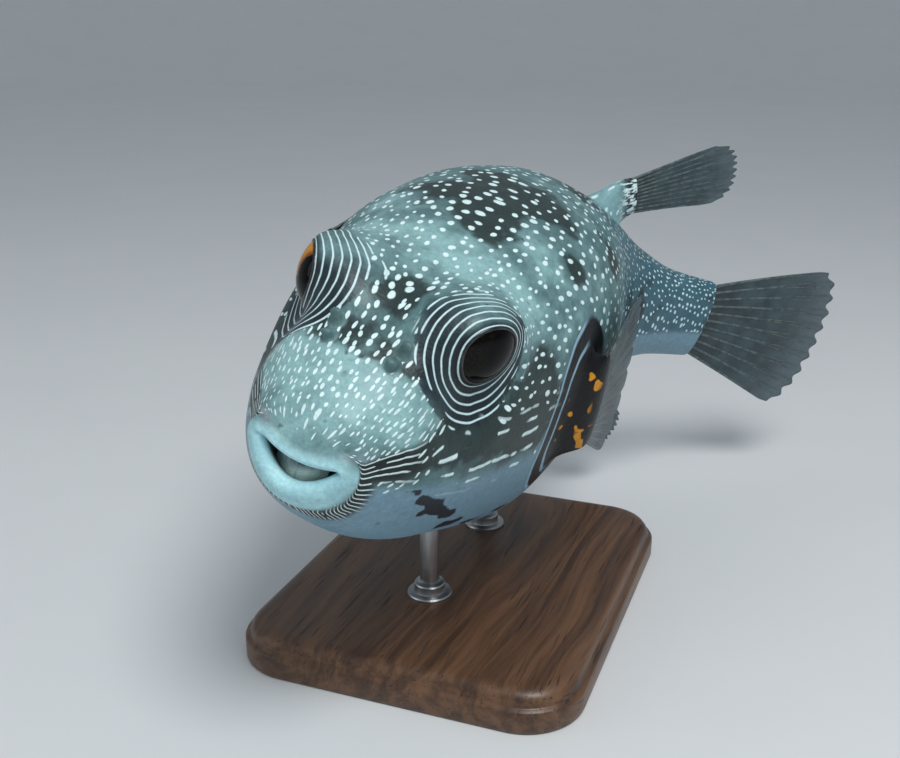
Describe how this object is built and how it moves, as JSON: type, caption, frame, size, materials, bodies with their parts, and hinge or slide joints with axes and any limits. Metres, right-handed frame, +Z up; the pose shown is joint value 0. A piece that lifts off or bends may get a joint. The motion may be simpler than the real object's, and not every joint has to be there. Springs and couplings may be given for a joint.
{
  "type": "pufferfish",
  "caption": "Life-size white-spotted pufferfish, banked with its tail curled to the left, on a flat base with two short rods; a still display model.",
  "frame": {"origin": "centre of the stand base's flat underside", "axes": "+Z up out of the stand; +Y from the fish's snout towards its tail; +X towards the fish's left side"},
  "size_m": [0.16, 0.2571, 0.141],
  "materials": {
    "spotted_skin": "moist satin skin, grey-green with darker blotches, white dots and thin white rings",
    "lip_skin": "moist pale skin",
    "fin_base_skin": "moist black skin with pale lines and gold patches",
    "fin_membrane": "thin translucent olive membrane over soft rays",
    "beak_enamel": "glossy off-white tooth plate",
    "eye_gloss": "wet gloss, black with a thin gold rim",
    "dark_oak": "satin oiled wood",
    "brushed_rod": "brushed"
  },
  "bodies": {
    "root": {"head": "spotted_skin", "trunk": "spotted_skin", "tail": "spotted_skin", "upper_lip": "lip_skin", "lower_lip": "lip_skin", "upper_beak": "beak_enamel", "lower_beak": "beak_enamel", "eye_left": "eye_gloss", "eye_right": "eye_gloss", "nostril_left": "fin_base_skin", "nostril_right": "fin_base_skin", "pectoral_base_left": "fin_base_skin", "pectoral_base_right": "fin_base_skin", "pectoral_fin_left": "fin_membrane", "pectoral_fin_right": "fin_membrane", "dorsal_fin_base": "spotted_skin", "dorsal_fin": "fin_membrane", "anal_fin_base": "spotted_skin", "anal_fin": "fin_membrane", "caudal_fin": "fin_membrane", "stand_base": "dark_oak", "stand_rod_front": "brushed_rod", "stand_rod_rear": "brushed_rod"}
  },
  "joints": []
}
